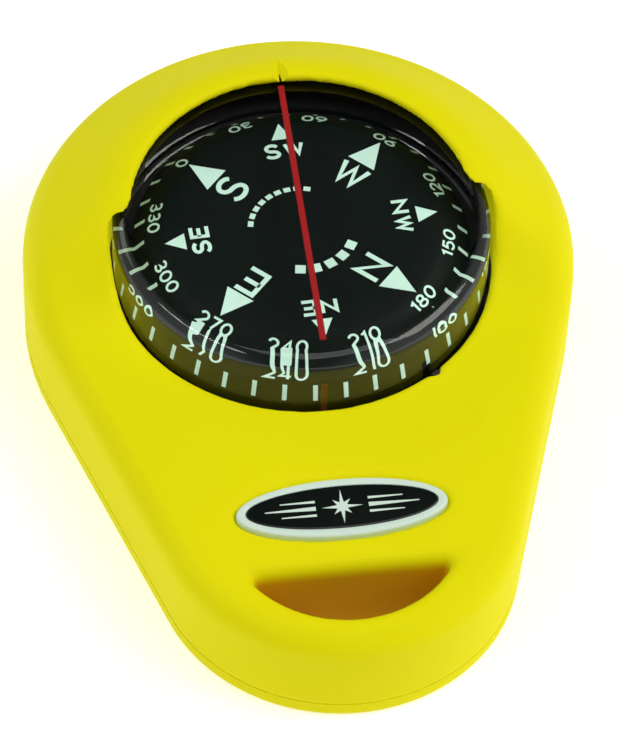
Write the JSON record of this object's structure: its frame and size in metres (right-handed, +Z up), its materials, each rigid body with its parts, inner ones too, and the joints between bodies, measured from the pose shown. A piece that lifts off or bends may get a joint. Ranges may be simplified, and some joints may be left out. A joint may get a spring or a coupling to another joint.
{
  "type": "handheld bearing compass",
  "caption": "Teardrop handheld bearing compass: hooded liquid-filled capsule with a free-turning card, red lubber line, sighting notch and lanyard slot.",
  "frame": {"origin": "on the capsule's vertical axis, at the flat underside", "axes": "+Z up out of the clear cover, +Y away from the hand towards the sighting notch, the lanyard slot is towards -Y"},
  "size_m": [0.08, 0.11, 0.0288],
  "materials": {
    "yellow_rubber": "soft-touch satin yellow",
    "black_plastic": "moulded black, satin",
    "black_rubber": "matt black",
    "clear_plastic": "clear, polished",
    "badge_white": "satin white",
    "badge_black": "gloss black",
    "card_black": "matt black with pale printed marks",
    "float_white": "moulded white",
    "red_line": "red",
    "brass": "turned",
    "steel": "plated",
    "magnet_alloy": "dull grey",
    "jewel": "polished"
  },
  "bodies": {
    "housing": {"body_shell": "yellow_rubber", "base_cover": "yellow_rubber", "base_screw_1": "steel", "base_screw_2": "steel", "base_screw_3": "steel", "base_screw_4": "steel", "badge_plate": "badge_white", "badge_inlay": "badge_black", "capsule_gasket": "black_rubber", "clamp_ring": "black_plastic", "capsule_cover": "clear_plastic", "capsule_bowl": "black_plastic", "capsule_seal": "black_rubber", "top_lubber_line": "red_line", "front_lubber_line": "red_line", "pivot_post": "brass", "pivot_needle": "steel", "diaphragm": "black_rubber", "diaphragm_retainer": "black_plastic", "filler_screw": "brass", "filler_washer": "black_rubber"},
    "tilt_cup": {"jewel_cup": "jewel"},
    "tilt_holder": {"jewel_holder": "brass"},
    "card": {"compass_card": "card_black", "card_float": "float_white", "magnet_carrier": "black_plastic", "card_magnet_left": "magnet_alloy", "card_magnet_right": "magnet_alloy"}
  },
  "joints": [
    {"name": "tilt_fore_aft", "type": "hinge", "parent": "housing", "child": "tilt_cup", "pos_m": [0, 0, 0.019], "axis": [1, 0, 0], "range_deg": [-7, 7]},
    {"name": "tilt_side", "type": "hinge", "parent": "tilt_cup", "child": "tilt_holder", "pos_m": [0, 0, 0.019], "axis": [0, 1, 0], "range_deg": [-7, 7]},
    {"name": "card_spin", "type": "hinge", "parent": "tilt_holder", "child": "card", "pos_m": [0, 0, 0.019], "axis": [0, 0, 1], "continuous": true}
  ]
}
